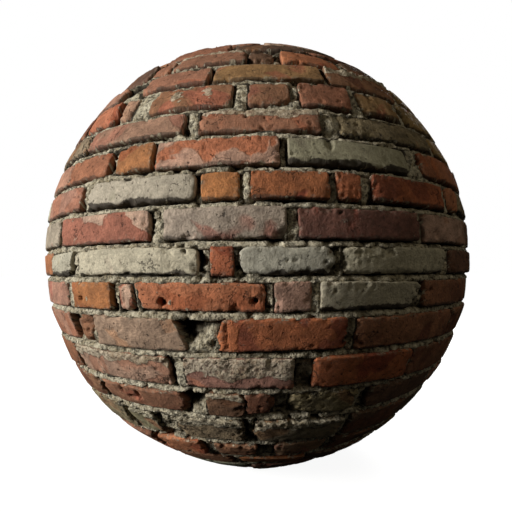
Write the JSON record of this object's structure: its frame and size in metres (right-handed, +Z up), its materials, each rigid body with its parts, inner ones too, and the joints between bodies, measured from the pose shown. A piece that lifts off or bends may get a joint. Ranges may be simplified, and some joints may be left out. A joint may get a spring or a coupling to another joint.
{
  "type": "brick masonry ball",
  "caption": "Garden ornament: a large ball of weathered mixed brick laid in level courses round a mortar core, with a small flat foot underneath.",
  "frame": {"origin": "centre of the flat underside of the foot, at the bottom of the ball", "axes": "+Z up through the crown, along the axis that the level courses run round; -Y is the front, towards the place of the missing brick end"},
  "size_m": [1.0298, 1.0298, 1.0112],
  "materials": {
    "brick": "matte",
    "mortar": "matte"
  },
  "bodies": {
    "root": {"mortar_core": "mortar", "foot": "brick", "course_01": "brick", "course_02": "brick", "course_03": "brick", "course_04": "brick", "course_05": "brick", "course_06": "brick", "course_07": "brick", "course_08": "brick", "course_09": "brick", "course_10": "brick", "course_11": "brick", "course_12": "brick", "course_13": "brick", "course_14": "brick", "course_15": "brick", "course_16": "brick", "course_17": "brick", "course_18": "brick", "course_19": "brick", "course_20": "brick", "course_21": "brick", "course_22": "brick", "crown": "brick"}
  },
  "joints": []
}
